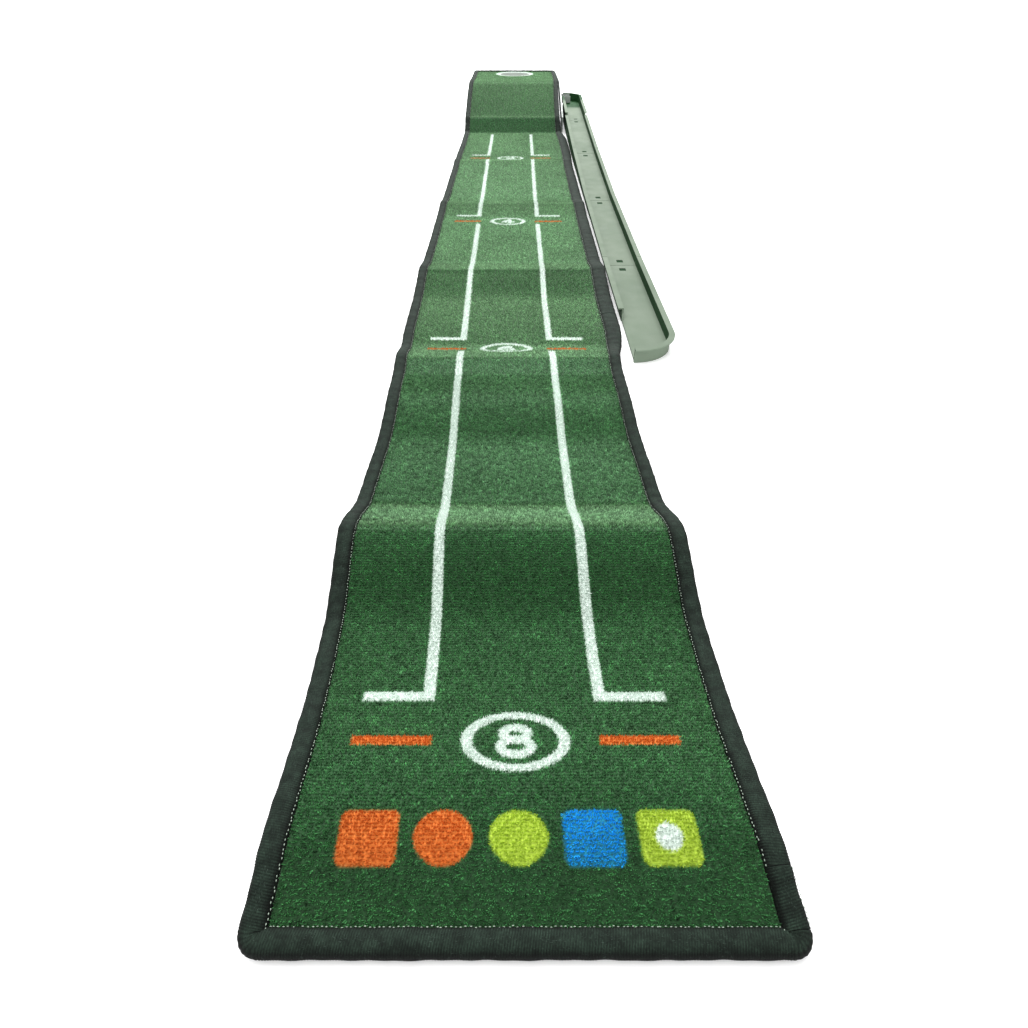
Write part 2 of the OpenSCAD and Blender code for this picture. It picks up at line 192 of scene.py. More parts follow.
def lay(x, y):
    """Sideways position on the floor of the point x across the cloth: it bows a little between the
    player and the head, its edges wander, draw in and spread, and the front corners flare."""
    free = np.clip((HEAD_START - y) / WANDER_FADE, 0, 1)
    side = np.sign(x)
    reach = np.abs(x) / HALF_W
    wave = 0.5 * np.sin(7.9 * y + 0.6 + side) + 0.4 * np.sin(19.0 * y + 2.0 + side)
    wander = free * MM * wave
    flare = FLARE * np.exp(-((y - FRONT_Y) / FLARE_REACH) ** 2)
    bow = np.interp(y, PROFILE_Y, PROFILE_BOW)
    draw = np.interp(y, PROFILE_Y, PROFILE_DRAW) * reach ** DRAW_POWER
    spread = np.interp(y, PROFILE_Y, PROFILE_SPREAD) * reach ** SPREAD_POWER * (x > 0)
    return x + bow + (wander + flare * side) * reach - draw * side + spread


# ---------------------------------------------------------------------------------------------
# Meshes
# ---------------------------------------------------------------------------------------------


def new_object(name, points, faces, material, values=None, colours=None, smooth=True):
    """A mesh object from arrays of points and faces, with named values or colours at its points."""
    faces = faces if isinstance(faces, list) else [faces]
    corners = np.concatenate([f.ravel() for f in faces]).astype(np.int32)
    sizes = np.concatenate([np.full(len(f), f.shape[1]) for f in faces])
    starts = np.concatenate([[0], np.cumsum(sizes)[:-1]]).astype(np.int32)
    mesh = bpy.data.meshes.new(name)
    mesh.vertices.add(len(points))
    mesh.vertices.foreach_set("co", np.asarray(points, np.float32).ravel())
    mesh.loops.add(len(corners))
    mesh.loops.foreach_set("vertex_index", corners)
    mesh.polygons.add(len(starts))
    mesh.polygons.foreach_set("loop_start", starts)
    mesh.update(calc_edges=True)
    mesh.polygons.foreach_set("use_smooth", np.full(len(starts), smooth))
    for key, array in (values or {}).items():
        attribute = mesh.attributes.new(key, "FLOAT", "POINT")
        attribute.data.foreach_set("value", np.asarray(array, np.float32))
    for key, array in (colours or {}).items():
        attribute = mesh.attributes.new(key, "FLOAT_COLOR", "POINT")
        rgba = np.concatenate([array, np.ones((len(array), 1))], axis=1)
        attribute.data.foreach_set("color", rgba.astype(np.float32).ravel())
    mesh.materials.append(material)
    obj = bpy.data.objects.new(name, mesh)
    bpy.context.scene.collection.objects.link(obj)
    return obj


RIM_REACH = 6 * MM


def slab(xs, ys, low, high, hole=None):
    """A closed sheet over a grid of stations that follows the mat between two heights over its
    underside, with a round hole if asked. Returns its points, its faces and the points' places on
    the flat cloth."""
    nx, ny = len(xs), len(ys)
    gx, gy = np.meshgrid(xs, ys)
    gx, gy = gx.ravel(), gy.ravel()
    index = np.arange(nx * ny).reshape(ny, nx)
    quads = np.stack(
        [index[:-1, :-1], index[:-1, 1:], index[1:, 1:], index[1:, :-1]], axis=-1
    ).reshape(-1, 4)
    if hole:
        radius = np.hypot(gx, gy)
        quads = quads[(radius[quads] > hole).all(axis=1)]
        uses = np.bincount(quads.ravel(), minlength=nx * ny)
        rim = (uses > 0) & (uses < 4) & (radius < hole + RIM_REACH)
        gx[rim] *= hole / radius[rim]
        gy[rim] *= hole / radius[rim]
    edges = np.concatenate([quads[:, [i, (i + 1) % 4]] for i in range(4)])
    key = np.sort(edges, axis=1) @ np.array([nx * ny, 1])
    _, first, counts = np.unique(key, return_index=True, return_counts=True)
    border = edges[first[counts == 1]]
    shift = nx * ny
    start, end = border.T
    walls = np.stack([end, start, start + shift, end + shift], axis=-1)
    laid_x = lay(gx, gy)
    base = under(gx, gy)
    top = np.stack([laid_x, gy, base + high], axis=-1)
    bottom = np.stack([laid_x, gy, base + low], axis=-1)
    faces = np.concatenate([quads, quads[:, ::-1] + shift, walls])
    used = np.zeros(2 * shift, dtype=bool)
    used[faces.ravel()] = True
    renumber = np.cumsum(used) - 1
    flat = np.tile(np.stack([gx, gy], axis=-1), (2, 1))
    return np.concatenate([top, bottom])[used], renumber[faces], flat[used]


# ---------------------------------------------------------------------------------------------
# What is printed on the pile
# ---------------------------------------------------------------------------------------------

GREEN, WHITE, ORANGE, LIME, BLUE = range(5)
COLOUR_NAMES = ("green", "white", "orange", "lime", "blue")
# Where each distance mark lies along Y, and its number of feet
MARKS = {-2.7143: "8", -2.103: "6", -1.487: "4", -0.880: "2"}
LANE_X = 60 * MM
LANE_HALF = 4.3 * MM
LANE_FOOT_X = 107 * MM
LANE_PAST_MARK = 35 * MM
LANE_SHORT_OF_MARK = 18 * MM
LANE_END = -0.530
BAR_X = (55 * MM, 109 * MM)
BAR_HALF = 3.8 * MM
RING_OUTER = (36 * MM, 24.5 * MM)
RING_INNER = (28.3 * MM, 18.6 * MM)
DIGIT_SIZE = (24.5 * MM, 22.5 * MM)
DIGIT_STROKE = 3.2 * MM
HOLE_RING_R = 68 * MM
HOLE_RING_BACK = 7 * MM
PRINT_SHIFT = -2 * MM
BADGE_Y = -2.7812
BADGE_PITCH = 43.5 * MM
BADGE_HALF = (17.5 * MM, 16 * MM)
BADGE_SQUARE = 5 * MM
BADGE_ROUND = 17 * MM
BADGE_DOT_R = 8 * MM
FAR_OFF = 1.0
PRINT_BLUR = 1.6 * MM


def box_distance(x, y, cx, cy, hx, hy, rounding=0.0):
    """Distance outside a box about (cx, cy) with half sizes hx and hy; negative inside it."""
    qx = np.abs(x - cx) - hx + rounding
    qy = np.abs(y - cy) - hy + rounding
    outside = np.hypot(np.maximum(qx, 0), np.maximum(qy, 0))
    return outside + np.minimum(np.maximum(qx, qy), 0) - rounding


def ellipse_distance(x, y, cx, cy, rx, ry):
    """Distance outside an ellipse, near enough at its outline; negative inside it."""
    reach = np.hypot((x - cx) / rx, (y - cy) / ry)
    return (reach - 1) * min(rx, ry)


def arc(cx, cy, rx, ry, start, end, steps=14):
    """Points along an ellipse's arc between two angles in degrees."""
    angles = np.radians(np.linspace(start, end, steps))
    return np.stack([cx + rx * np.cos(angles), cy + ry * np.sin(angles)], axis=-1)


# Strokes of each digit, about its middle, in units of its width and height
DIGITS = {
    "8": [arc(0, 0.25, 0.34, 0.23, 0, 360), arc(0, -0.23, 0.42, 0.27, 0, 360)],
    "6": [arc(0, -0.2, 0.40, 0.30, 0, 360), arc(0.14, -0.2, 0.54, 0.68, 180, 78)],
    "4": [np.array([[0.16, -0.5], [0.16, 0.5], [-0.44, -0.18], [0.46, -0.18]])],
    "2": [np.concatenate([arc(0, 0.2, 0.38, 0.29, 165, -35), [[-0.40, -0.47], [0.42, -0.47]]])],
}


def digit_distance(x, y, cx, cy, digit):
    """Distance from the strokes of a digit that stands upright to the player."""
    best = np.full(x.shape, FAR_OFF)
    for stroke in DIGITS[digit]:
        points = stroke * DIGIT_SIZE + (cx, cy)
        for (ax, ay), (bx, by) in zip(points[:-1], points[1:]):
            dx, dy = bx - ax, by - ay
            t = np.clip(((x - ax) * dx + (y - ay) * dy) / (dx * dx + dy * dy), 0, 1)
            best = np.minimum(best, np.hypot(x - ax - t * dx, y - ay - t * dy))
    return best - DIGIT_STROKE


def lane_distance(x, y):
    """The two lane lines, in lengths between the marks, each with a foot turned outwards."""
    side = np.abs(x)
    starts = sorted(MARKS)
    best = np.full(x.shape, FAR_OFF)
    for i, mark in enumerate(starts):
        near = mark + LANE_PAST_MARK
        far = starts[i + 1] - LANE_SHORT_OF_MARK if i + 1 < len(starts) else LANE_END
        line = box_distance(side, y, LANE_X, (near + far) / 2, LANE_HALF, (far - near) / 2)
        foot_mid = (LANE_X - LANE_HALF + LANE_FOOT_X) / 2
        foot_half = (LANE_FOOT_X - LANE_X + LANE_HALF) / 2
        foot = box_distance(side, y, foot_mid, near + LANE_HALF, foot_half, LANE_HALF)
        best = np.minimum(best, np.minimum(line, foot))
    return best


def print_layers(x, y):
    """(colour, distance) for each printed layer, in the order in which they cover each other."""
    ring = (WHITE, np.hypot(x, y - HOLE_RING_BACK) - HOLE_RING_R)
    x = x - PRINT_SHIFT
    layers = [ring, (WHITE, lane_distance(x, y))]
    for mark, digit in MARKS.items():
        bar_mid, bar_half = sum(BAR_X) / 2, (BAR_X[1] - BAR_X[0]) / 2
        layers.append((ORANGE, box_distance(np.abs(x), y, bar_mid, mark, bar_half, BAR_HALF)))
        outer = ellipse_distance(x, y, 0, mark, *RING_OUTER)
        inner = ellipse_distance(x, y, 0, mark, *RING_INNER)
        layers.append((WHITE, np.maximum(outer, -inner)))
        layers.append((WHITE, digit_distance(x, y, 0, mark, digit)))
    badges = (
        (ORANGE, BADGE_SQUARE), (ORANGE, BADGE_ROUND), (LIME, BADGE_ROUND), (BLUE, BADGE_SQUARE),
        (LIME, BADGE_SQUARE),
    )
    for i, (colour, rounding) in enumerate(badges):
        cx = (i - 2) * BADGE_PITCH
        layers.append((colour, box_distance(x, y, cx, BADGE_Y, *BADGE_HALF, rounding)))
    layers.append((WHITE, np.hypot(x - 2 * BADGE_PITCH, y - BADGE_Y) - BADGE_DOT_R))
    return layers


def print_at(x, y):
    """The printed colour's number at each point."""
    found = np.full(x.shape, GREEN)
    for colour, distance in print_layers(x, y):
        found[distance < 0] = colour
    return found


# Printed colours, in the order of COLOUR_NAMES
PILE_RGB = np.array([
    [0.066, 0.170, 0.066],
    [0.710, 0.800, 0.740],
    [0.630, 0.163, 0.023],
    [0.450, 0.600, 0.055],
    [0.015, 0.440, 0.920],
])
# Green at the blades' foot and tip: painted shade at the foot, painted light at the tip
GREEN_FOOT_SHADED = (0.011, 0.058, 0.015)
GREEN_TIP_LIT = (0.160, 0.345, 0.160)


def sheet_colours(x, y):
    """Printed colour of the pile's dense foot, with soft edges."""
    blend = np.tile(PILE_RGB[GREEN], (len(x), 1))
    for colour, distance in print_layers(x, y):
        cover = np.clip(0.5 - distance / PRINT_BLUR, 0, 1)[:, None]
        blend = blend * (1 - cover) + PILE_RGB[colour] * cover
    return blend


# ---------------------------------------------------------------------------------------------
# Materials
# ---------------------------------------------------------------------------------------------


class Look:
    """A node material with short calls for the nodes that the looks below share."""

    def __init__(self, name, roughness=0.6, **settings):
        self.material = bpy.data.materials.new(name)
        self.material.use_nodes = True
        self.tree = self.material.node_tree
        self.shader = self.tree.nodes["Principled BSDF"]
        self.place = self.tree.nodes.new("ShaderNodeTexCoord").outputs["Object"]
        self.set("Roughness", roughness)
        for key, value in settings.items():
            self.set(key.replace("_", " "), value)

    def set(self, socket, value):
        """Gives a shader input a number, a colour or another node's output."""
        target = self.shader.inputs[socket]
        if isinstance(value, bpy.types.NodeSocket):
            self.tree.links.new(value, target)
        else:
            target.default_value = value

    def node(self, kind, output=0, inputs=None, **attributes):
        """Adds a node, feeds its inputs and returns one of its outputs."""
        made = self.tree.nodes.new("ShaderNode" + kind)
        for key, value in attributes.items():
            setattr(made, key, value)
        for key, value in (inputs or {}).items():
            if isinstance(value, bpy.types.NodeSocket):
                self.tree.links.new(value, made.inputs[key])
            else:
                made.inputs[key].default_value = value
        return made.outputs[output]

    def stretched(self, scale):
        return self.node("Mapping", inputs={"Vector": self.place, "Scale": scale})

    def noise(self, scale, detail=3.0, stretch=None, roughness=0.55):
        vector = self.stretched(stretch) if stretch else self.place
        return self.node("TexNoise", inputs={
            "Vector": vector, "Scale": scale, "Detail": detail, "Roughness": roughness})

    def ramp(self, value, low, high, start=0.3, end=0.7):
        """A colour between low and high as value goes from start to end."""
        made = self.tree.nodes.new("ShaderNodeValToRGB")
        for stop, at, colour in ((0, start, low), (1, end, high)):
            made.color_ramp.elements[stop].position = at
            made.color_ramp.elements[stop].color = (*colour, 1)
        self.tree.links.new(value, made.inputs["Fac"])
        return made.outputs["Color"]

    def scalar(self, value, low, high, start=0.3, end=0.7):
        """A number between low and high as value goes from start to end."""
        return self.node("MapRange", inputs={
            "Value": value, "From Min": start, "From Max": end, "To Min": low, "To Max": high})

    def mix(self, factor, a, b, blend_type="MIX"):
        """Mixes two colours. Each input is a number, a colour or another node's output."""
        made = self.tree.nodes.new("ShaderNodeMix")
        made.data_type = "RGBA"
        made.blend_type = blend_type
        for socket, value in zip((made.inputs[0], made.inputs[6], made.inputs[7]), (factor, a, b)):
            if isinstance(value, bpy.types.NodeSocket):
                self.tree.links.new(value, socket)
            else:
                socket.default_value = value if isinstance(value, (int, float)) else (*value, 1)
        return made.outputs[2]

    def math(self, operation, a, b):
        return self.node("Math", operation=operation, inputs={0: a, 1: b})

    def attribute(self, name, output="Fac"):
        return self.node("Attribute", output=output, attribute_name=name)

    def bump(self, height, strength, distance, normal=None):
        inputs = {"Height": height, "Strength": strength, "Distance": distance}
        if normal is not None:
            inputs["Normal"] = normal
        return self.node("Bump", inputs=inputs)

    def facing(self, surface_normal):
        """How squarely a surface is seen: 1 from straight above it, 0 along it."""
        towards_viewer = self.node("NewGeometry", output="Incoming")
        return self.node("VectorMath", output="Value", operation="DOT_PRODUCT",
                         inputs={0: towards_viewer, 1: surface_normal})

    def stops(self, value, rows):
        """A colour that runs through rows of (position, colour)."""
        made = self.tree.nodes.new("ShaderNodeValToRGB")
        for _ in rows[2:]:
            made.color_ramp.elements.new(0.5)
        for element, (at, colour) in zip(made.color_ramp.elements, rows):
            element.position = at
            element.color = (*colour, 1)
        self.tree.links.new(value, made.inputs["Fac"])
        return made.outputs["Color"]


def neutral(level):
    return (level, level, level)


# Painted sheen and shade on the green pile: dark where it is seen from above, standing in for the shade down
# between the tufts, and pale where it is seen along it, standing in for the light on their tips: how squarely it
# is seen, and the share of its full colour
SHEEN_AND_SHADE = (
    (0.15, (0.83, 0.64, 0.78)),
    (0.25, (1.00, 0.80, 0.98)),
    (0.36, (0.88, 0.70, 0.82)),
    (0.45, (0.39, 0.40, 0.39)),
    (0.55, (0.68, 0.62, 0.72)),
    (0.66, (0.34, 0.41, 0.37)),
    (0.76, (0.34, 0.45, 0.39)),
    (0.90, (0.20, 0.33, 0.24)),
)
# Gain of the green colours, which the shares of the painted sheen and shade scale back
SHEEN_AND_SHADE_GAIN = 2.5


def scaled(rgb, factor):
    return tuple(min(1.0, c * factor) for c in rgb)


def pile_look(colour):
    rgb = tuple(PILE_RGB[colour])
    look = Look("pile_" + COLOUR_NAMES[colour], roughness=0.85)
    # Each blade runs from a darker foot to a paler tip: painted shade at the foot, painted light at the tip
    foot, head = scaled(rgb, 0.92), scaled(rgb, 1.04)
    if colour == GREEN:
        foot, head = scaled(GREEN_FOOT_SHADED, SHEEN_AND_SHADE_GAIN), scaled(GREEN_TIP_LIT, SHEEN_AND_SHADE_GAIN)
    yarn_and_shade = look.mix(look.attribute("tip"), foot, head)
    shade = look.attribute("shade")
    if colour == GREEN:
        # Painted sheen and shade: the colour is scaled by how squarely the cloth under the blade is seen
        backward = look.math("MULTIPLY", look.attribute("steep"), -1)
        tilt = look.node("CombineXYZ", inputs={"Y": backward, "Z": 1})
        ground = look.node("VectorMath", operation="NORMALIZE", inputs={0: tilt})
        yarn_and_shade = look.mix(1.0, yarn_and_shade, look.stops(look.facing(ground), SHEEN_AND_SHADE), "MULTIPLY")
    else:
        shade = look.scalar(shade, 0.96, 1.04, 0.5, 1.3)
    mottle = look.scalar(look.noise(9.0, 4.0), 0.86, 1.14)
    if colour == GREEN:
        mottle = look.math("MULTIPLY", mottle, look.scalar(look.noise(150.0, 3.0), 0.72, 1.28))
    level = look.math("MULTIPLY", shade, mottle)
    grey = look.node("CombineColor", inputs={"Red": level, "Green": level, "Blue": level})
    look.set("Base Color", look.mix(1.0, yarn_and_shade, grey, "MULTIPLY"))
    look.set("Specular IOR Level", 0.25)
    return look.material


ROW_PITCH = 2.3 * MM
# Bands in a metre of a wave texture whose scale is 1
WAVE_BANDS = 3.18


def turf_sheet_look():
    look = Look("turf_sheet", roughness=0.95)
    printed = look.attribute("print", "Color")
    red = look.node("SeparateColor", inputs={"Color": printed}, output="Red")
    lift = look.scalar(red, 0.0, 1.0, 0.08, 0.5)
    # Random speckle, and a darkening of the whole sheet: painted shade down between the tufts, less of it on the
    # prints
    speckle_and_shade = look.scalar(look.noise(700.0, 2.0), 0.18, 0.62)
    speckle_and_shade = look.math("ADD", speckle_and_shade, look.math("MULTIPLY", lift, 0.5))
    grey = look.node("CombineColor", inputs={"Red": speckle_and_shade, "Green": speckle_and_shade, "Blue": speckle_and_shade})
    # Painted sheen and shade by how squarely the sheet is seen, left off the prints
    sheen_and_shade = look.stops(look.facing(look.node("NewGeometry", output="Normal")), SHEEN_AND_SHADE)
    seen = look.mix(lift, look.mix(1.0, sheen_and_shade, neutral(SHEEN_AND_SHADE_GAIN), "MULTIPLY"), neutral(1.0))
    yarn_and_shade = look.mix(1.0, printed, grey, "MULTIPLY")
    look.set("Base Color", look.mix(1.0, yarn_and_shade, seen, "MULTIPLY"))
    rows = look.node("TexWave", inputs={
        "Vector": look.place, "Scale": 1 / ROW_PITCH / WAVE_BANDS, "Distortion": 1.5,
        "Detail": 2.0, "Detail Scale": 3.0}, output="Fac", bands_direction="Y")
    grain = look.bump(look.noise(900.0, 2.0), 0.6, 0.6 * MM)
    look.set("Normal", look.bump(rows, 0.5, 0.8 * MM, grain))
    return look.material


def underlay_look():
    look = Look("underlay_rubber", roughness=0.8)
    cloud = look.noise(60.0, 4.0)
    look.set("Base Color", look.ramp(cloud, (0.018, 0.022, 0.020), (0.045, 0.052, 0.048)))
    cells = look.node("TexVoronoi", inputs={"Vector": look.place, "Scale": 330.0})
    look.set("Normal", look.bump(cells, 0.7, 0.5 * MM))
    return look.material


def border_look():
    look = Look("border_yarn", roughness=0.9, Specular_IOR_Level=0.2)
    fibre = look.noise(1500.0, 3.0, stretch=(1.0, 0.35, 1.0))
    worn = look.noise(38.0, 3.0)
    ridge = look.attribute("ridge")
    # Dark in the grooves between the wraps, pale on their ridges: painted shade in the grooves, patchy at random
    dark = look.mix(worn, (0.001, 0.003, 0.002), (0.003, 0.007, 0.004))
    light = look.mix(worn, (0.034, 0.066, 0.045), (0.056, 0.098, 0.068))
    patch = look.scalar(look.noise(130.0, 3.0), 0.35, 1.0, 0.35, 0.65)
    yarn_and_shade = look.mix(look.math("MULTIPLY", ridge, patch), dark, light)
    # Painted light and shade: paler on the roll's top and darker on its flanks, as light falls from above
    normal = look.node("NewGeometry", output="Normal")
    up = look.node("SeparateXYZ", output="Z", inputs={"Vector": normal})
    light_from_above = look.stops(up, ((0.0, neutral(0.07)), (0.6, neutral(0.16)), (0.95, neutral(0.60))))
    yarn_and_shade = look.mix(look.scalar(fibre, 0.0, 0.75), yarn_and_shade, (0.003, 0.006, 0.004))
    look.set("Base Color", look.mix(1.0, yarn_and_shade, light_from_above, "MULTIPLY"))
    look.set("Normal", look.bump(fibre, 0.7, 0.35 * MM))
    return look.material


def fuzz_look():
    look = Look("border_fuzz", roughness=0.9)
    shade = look.attribute("shade")
    look.set("Base Color", look.ramp(shade, (0.012, 0.024, 0.018), (0.055, 0.085, 0.066), 0.0, 1.0))
    return look.material


def stitch_look():
    look = Look("stitch_thread", roughness=0.7)
    twist = look.noise(2200.0, 2.0)
    look.set("Base Color", look.ramp(twist, (0.20, 0.27, 0.21), (0.46, 0.54, 0.45)))
    look.set("Normal", look.bump(twist, 0.4, 0.2 * MM))
    return look.material


def moulded_look(name, low, high, roughness, grain=1400.0, **settings):
    """Moulded plastic: cloudy colour, uneven gloss and a fine grained skin."""
    look = Look(name, roughness=roughness, **settings)
    cloud = look.noise(14.0, 4.0)
    look.set("Base Color", look.ramp(cloud, low, high))
    look.set("Roughness", look.scalar(look.noise(45.0, 3.0), roughness - 0.07, roughness + 0.09))
    look.set("Normal", look.bump(look.noise(grain, 2.0), 0.18, 0.15 * MM))
    return look.material


DARK_FADE = 20 * MM


def track_look(name, dark_from=None):
    """Milky green plastic: pale on its floor and rims, with painted shade on the faces that turn
    towards the mat and painted light on the faces that turn towards the player. Beyond dark_from
    along Y it is solid dark green."""
    look = Look(name, roughness=0.65, Specular_IOR_Level=0.04)
    normal = look.node("NewGeometry", output="Normal")
    across = look.node("SeparateXYZ", output="X", inputs={"Vector": normal})
    along = look.node("SeparateXYZ", output="Y", inputs={"Vector": normal})
    cloud = look.noise(7.0, 4.0)
    pale = look.ramp(cloud, (0.125, 0.165, 0.120), (0.165, 0.205, 0.155))
    front_light = look.ramp(cloud, (0.170, 0.225, 0.165), (0.210, 0.265, 0.200))
    wall_shade = look.ramp(cloud, (0.014, 0.038, 0.016), (0.024, 0.060, 0.027))
    # Painted light on the faces that turn towards the player, painted shade on those that turn towards the mat
    front_lit = look.mix(look.scalar(along, 0.0, 1.0, -0.3, -0.8), pale, front_light)
    walled = look.mix(look.scalar(across, 0.0, 1.0, -0.35, -0.85), front_lit, wall_shade)
    if dark_from is not None:
        place_y = look.node("SeparateXYZ", output="Y", inputs={"Vector": look.place})
        solid = look.ramp(cloud, (0.010, 0.045, 0.015), (0.020, 0.070, 0.025))
        beyond = look.scalar(place_y, 0.0, 1.0, dark_from - DARK_FADE, dark_from + DARK_FADE)
        walled = look.mix(beyond, walled, solid)
    look.set("Base Color", walled)
    look.set("Roughness", look.scalar(look.noise(40.0, 3.0), 0.58, 0.74))
    look.set("Normal", look.bump(look.noise(900.0, 2.0), 0.06, 0.1 * MM))
    return look.material


def screw_look():
    look = Look("zinc_screws", roughness=0.35, Metallic=1.0)
    scratches = look.noise(900.0, 4.0, stretch=(1.0, 6.0, 1.0))
    look.set("Base Color", look.ramp(scratches, (0.42, 0.42, 0.43), (0.66, 0.66, 0.65)))
    look.set("Roughness", look.scalar(scratches, 0.25, 0.5))
    return look.material


def hook_look():
    look = Look("hook_tape", roughness=0.95)
    loops = look.node("TexVoronoi", inputs={"Vector": look.place, "Scale": 700.0})
    look.set("Base Color", look.ramp(loops, neutral(0.02), neutral(0.07), 0.1, 0.6))
    look.set("Normal", look.bump(loops, 1.0, 0.5 * MM))
    return look.material


def floor_look():
    look = Look("pale_floor", roughness=0.55)
    look.set("Base Color", look.ramp(look.noise(1.3, 5.0), neutral(0.90), neutral(0.93)))
    look.set("Emission Color", (1.0, 1.0, 1.0, 1.0))
    look.set("Emission Strength", 0.28)
    return look.material


# ---------------------------------------------------------------------------------------------
# Soft parts: pile sheet, underlay, rolled border, lock stitch
# ---------------------------------------------------------------------------------------------

PILE_LOOKS = [pile_look(c) for c in range(len(COLOUR_NAMES))]
SHEET_LOOK = turf_sheet_look()
UNDERLAY_LOOK = underlay_look()
BORDER_LOOK = border_look()
FUZZ_LOOK = fuzz_look()
STITCH_LOOK = stitch_look()

PAST_LAST_FOLD = 0.2
TUCK = 2 * MM

fold_line = [fold_y[f"fold_{k}"] for k in FOLDS]
cuts = [FRONT_Y]
for near, far in zip(fold_line, fold_line[1:]):
    cuts.append((near + far) / 2)
cuts += [fold_line[-1] + PAST_LAST_FOLD, BACK_Y]
BODIES = [f"mat_{k}" for k in FOLDS] + ["head"]
NODE_ENDS = [f"panel_{k}" for k in FOLDS] + ["ramp"]


def attach(obj, strip):
    """The last strip is attached to the head; the others have their place baked into their mesh."""
    if strip == len(FOLDS):
        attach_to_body(obj, "head")
        return
    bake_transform(obj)


def stations(a, b, step):
    """Even stations from a to b, about a step apart."""
    return np.linspace(a, b, max(2, int(round((b - a) / step)) + 1))


def detail(strip):
    """How coarse a strip's grid may be: the farther from the camera, the coarser."""
    return (1.0, 1.25, 1.9, 1.9, 1.9, 1.9)[strip]


SHEET_STEP = 1.5 * MM
UNDERLAY_STEP = (6 * MM, 4 * MM)


def build_sheets(strip):
    """The printed sheet that the pile stands in, and the rubber underlay below it."""
    near, far = cuts[strip], cuts[strip + 1]
    sheet_near = near + BORDER_W - TUCK if strip == 0 else near
    sheet_far = far - BORDER_W + TUCK if strip == len(FOLDS) else far
    hole = HOLE_R if strip == len(FOLDS) else None
    xs = stations(-TURF_HALF, TURF_HALF, SHEET_STEP * detail(strip))
    ys = stations(sheet_near, sheet_far, SHEET_STEP * detail(strip))
    points, faces, flat = slab(xs, ys, TURF_LOW, SHEET_TOP, hole)
    colours = {"print": sheet_colours(*flat.T)}
    sheet = new_object(f"turf_sheet_{strip + 1}", points, faces, SHEET_LOOK, colours=colours)
    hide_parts(f"turf_{NODE_ENDS[strip]}")
    attach(sheet, strip)

    xs = stations(-TURF_HALF, TURF_HALF, UNDERLAY_STEP[0])
    ys = stations(sheet_near, sheet_far, UNDERLAY_STEP[1])
    points, faces, _ = slab(xs, ys, 0, UNDERLAY_T, hole)
    rubber = new_object(f"underlay_{strip + 1}", points, faces, UNDERLAY_LOOK)
    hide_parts(f"underlay_{NODE_ENDS[strip]}")
    attach(rubber, strip)


for strip in range(len(BODIES)):
    build_sheets(strip)

ROLL_POINTS = 14
ROLL_SQUARE = 0.82
WRAP_PITCH = 1.45 * MM
WRAP_HEIGHT = 0.38 * MM
CORNER_R = 5 * MM
ROLL_HALF_W = BORDER_W / 2
ROLL_HALF_H = BORDER_H / 2 + 0.2 * MM


def edge_path(strip):
    """Centre line of the border in plan: one path for each side, or round the mat's end."""
    near, far = cuts[strip], cuts[strip + 1]
    x = HALF_W - ROLL_HALF_W
    turns = {0: (near + ROLL_HALF_W, far, -1), len(FOLDS): (far - ROLL_HALF_W, near, 1)}
    if strip not in turns:
        return [np.array([[side * x, near], [side * x, far]]) for side in (-1, 1)]
    end, start, outward = turns[strip]
    path = [[-x, start]]
    for side in (-1, 1):
        angles = np.radians(np.linspace(0, 90, 8))
        if side > 0:
            angles = angles[::-1]
        for a in angles:
            path.append([
                side * (x - CORNER_R + CORNER_R * math.cos(a)),
                end + outward * (-CORNER_R + CORNER_R * math.sin(a)),
            ])
    path.append([x, start])
    return [np.array(path)]


def resample(path, step):
    """Points at even steps along a path in plan."""
    lengths = np.hypot(*np.diff(path, axis=0).T)
    along = np.concatenate([[0], np.cumsum(lengths)])
    s = stations(0, along[-1], step)
    return s, np.stack([np.interp(s, along, path[:, i]) for i in (0, 1)], axis=-1)


def path_frames(centre):
    """Outward and upward unit vectors along a border path that lies on the mat."""
    tangent = np.gradient(centre, axis=0)
    tangent /= np.linalg.norm(tangent, axis=1)[:, None]
    side = np.cross(tangent, (0, 0, 1))
    side /= np.linalg.norm(side, axis=1)[:, None]
    outward = np.sign((side[:, :2] * (centre[:, :2] - (0, (FRONT_Y + BACK_Y) / 2))).sum(axis=1))
    side *= np.where(outward == 0, 1, outward)[:, None]
    up = np.cross(side, tangent)
    up *= np.sign(up[:, 2])[:, None]
    return tangent, side, up


def border_frames(plan):
    """Centre line of a border path that lies on the mat, its half width, and its unit vectors
    along, outwards and upwards. The border widens where the cloth's edge spreads."""
    x, y = plan.T
    left, right = lay(x - ROLL_HALF_W, y), lay(x + ROLL_HALF_W, y)
    centre = np.stack([(left + right) / 2, y, under(x, y) + ROLL_HALF_H], axis=-1)
    tangent, side, up = path_frames(centre)
    widened = np.maximum((right - left) / 2 - ROLL_HALF_W, 0)
    half_w = ROLL_HALF_W + widened * np.abs(side[:, 0])
    return centre, half_w[:, None], tangent, side, up


LUMP_H = 0.12 * MM


def lumps(s, seed):
    """Unevenness of the rolled edge along its length."""
    phases = np.random.default_rng(seed).uniform(0, 2 * math.pi, 3)
    return LUMP_H * sum(np.sin(s * rate + phase) for rate, phase in zip((210, 97, 411), phases))


